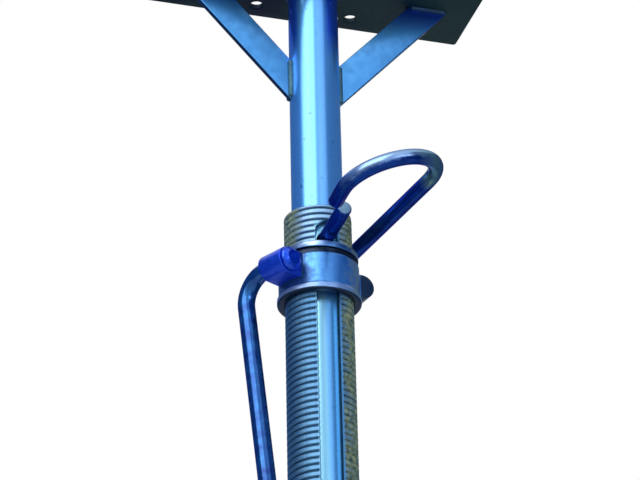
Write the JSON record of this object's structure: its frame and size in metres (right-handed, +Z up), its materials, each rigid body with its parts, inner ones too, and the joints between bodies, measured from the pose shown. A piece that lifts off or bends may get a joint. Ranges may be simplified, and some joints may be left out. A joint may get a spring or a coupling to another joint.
{
  "type": "adjustable steel prop",
  "caption": "Telescopic steel prop: slotted threaded outer tube on a base plate, pinned inner tube with a braced head plate, bent locking pin, and collar nut with a hinged handle.",
  "frame": {"origin": "on the floor under the tube axis, at the underside of the base plate", "axes": "+Z up along the tubes, +X along the head plate to the right, -Y to the front, where the slot is"},
  "size_m": [0.33, 0.2476, 1.867],
  "materials": {
    "tube_paint": "glossy blue metallic coat on drawn steel tube and flat bar",
    "plate_paint": "blue coat on flat plate",
    "rod_paint": "glossy dark blue coat on round bar",
    "nut_paint": "glossy blue coat on an iron casting"
  },
  "bodies": {
    "outer": {"outer_tube": "tube_paint", "base_plate": "plate_paint"},
    "inner": {"inner_tube": "tube_paint", "head_plate": "plate_paint", "brace_left": "tube_paint", "brace_right": "tube_paint"},
    "nut": {"collar_nut": "nut_paint"},
    "handle": {"nut_handle": "rod_paint"},
    "pin": {"locking_pin": "rod_paint"}
  },
  "joints": [
    {"name": "inner_slide", "type": "slide", "parent": "outer", "child": "inner", "axis": [0, 0, 1], "range_m": [-0.1201, 0.0081]},
    {"name": "nut_turn", "type": "hinge", "parent": "inner", "child": "nut", "pos_m": [0, 0, 1.5687], "axis": [0, 0, 1], "range_deg": [-7200, 480]},
    {"name": "handle_swing", "type": "hinge", "parent": "nut", "child": "handle", "pos_m": [-0.04482, -0.02433, 1.5437], "axis": [-0.4772, 0.8788, 0], "range_deg": [-3, 90]},
    {"name": "pin_pull", "type": "slide", "parent": "inner", "child": "pin", "axis": [0, 1, 0], "range_m": [0, 0.055]}
  ],
  "couplings": [
    {"joint": "inner_slide", "follows": "nut_turn", "m_per_rad": 0.00095493}
  ]
}
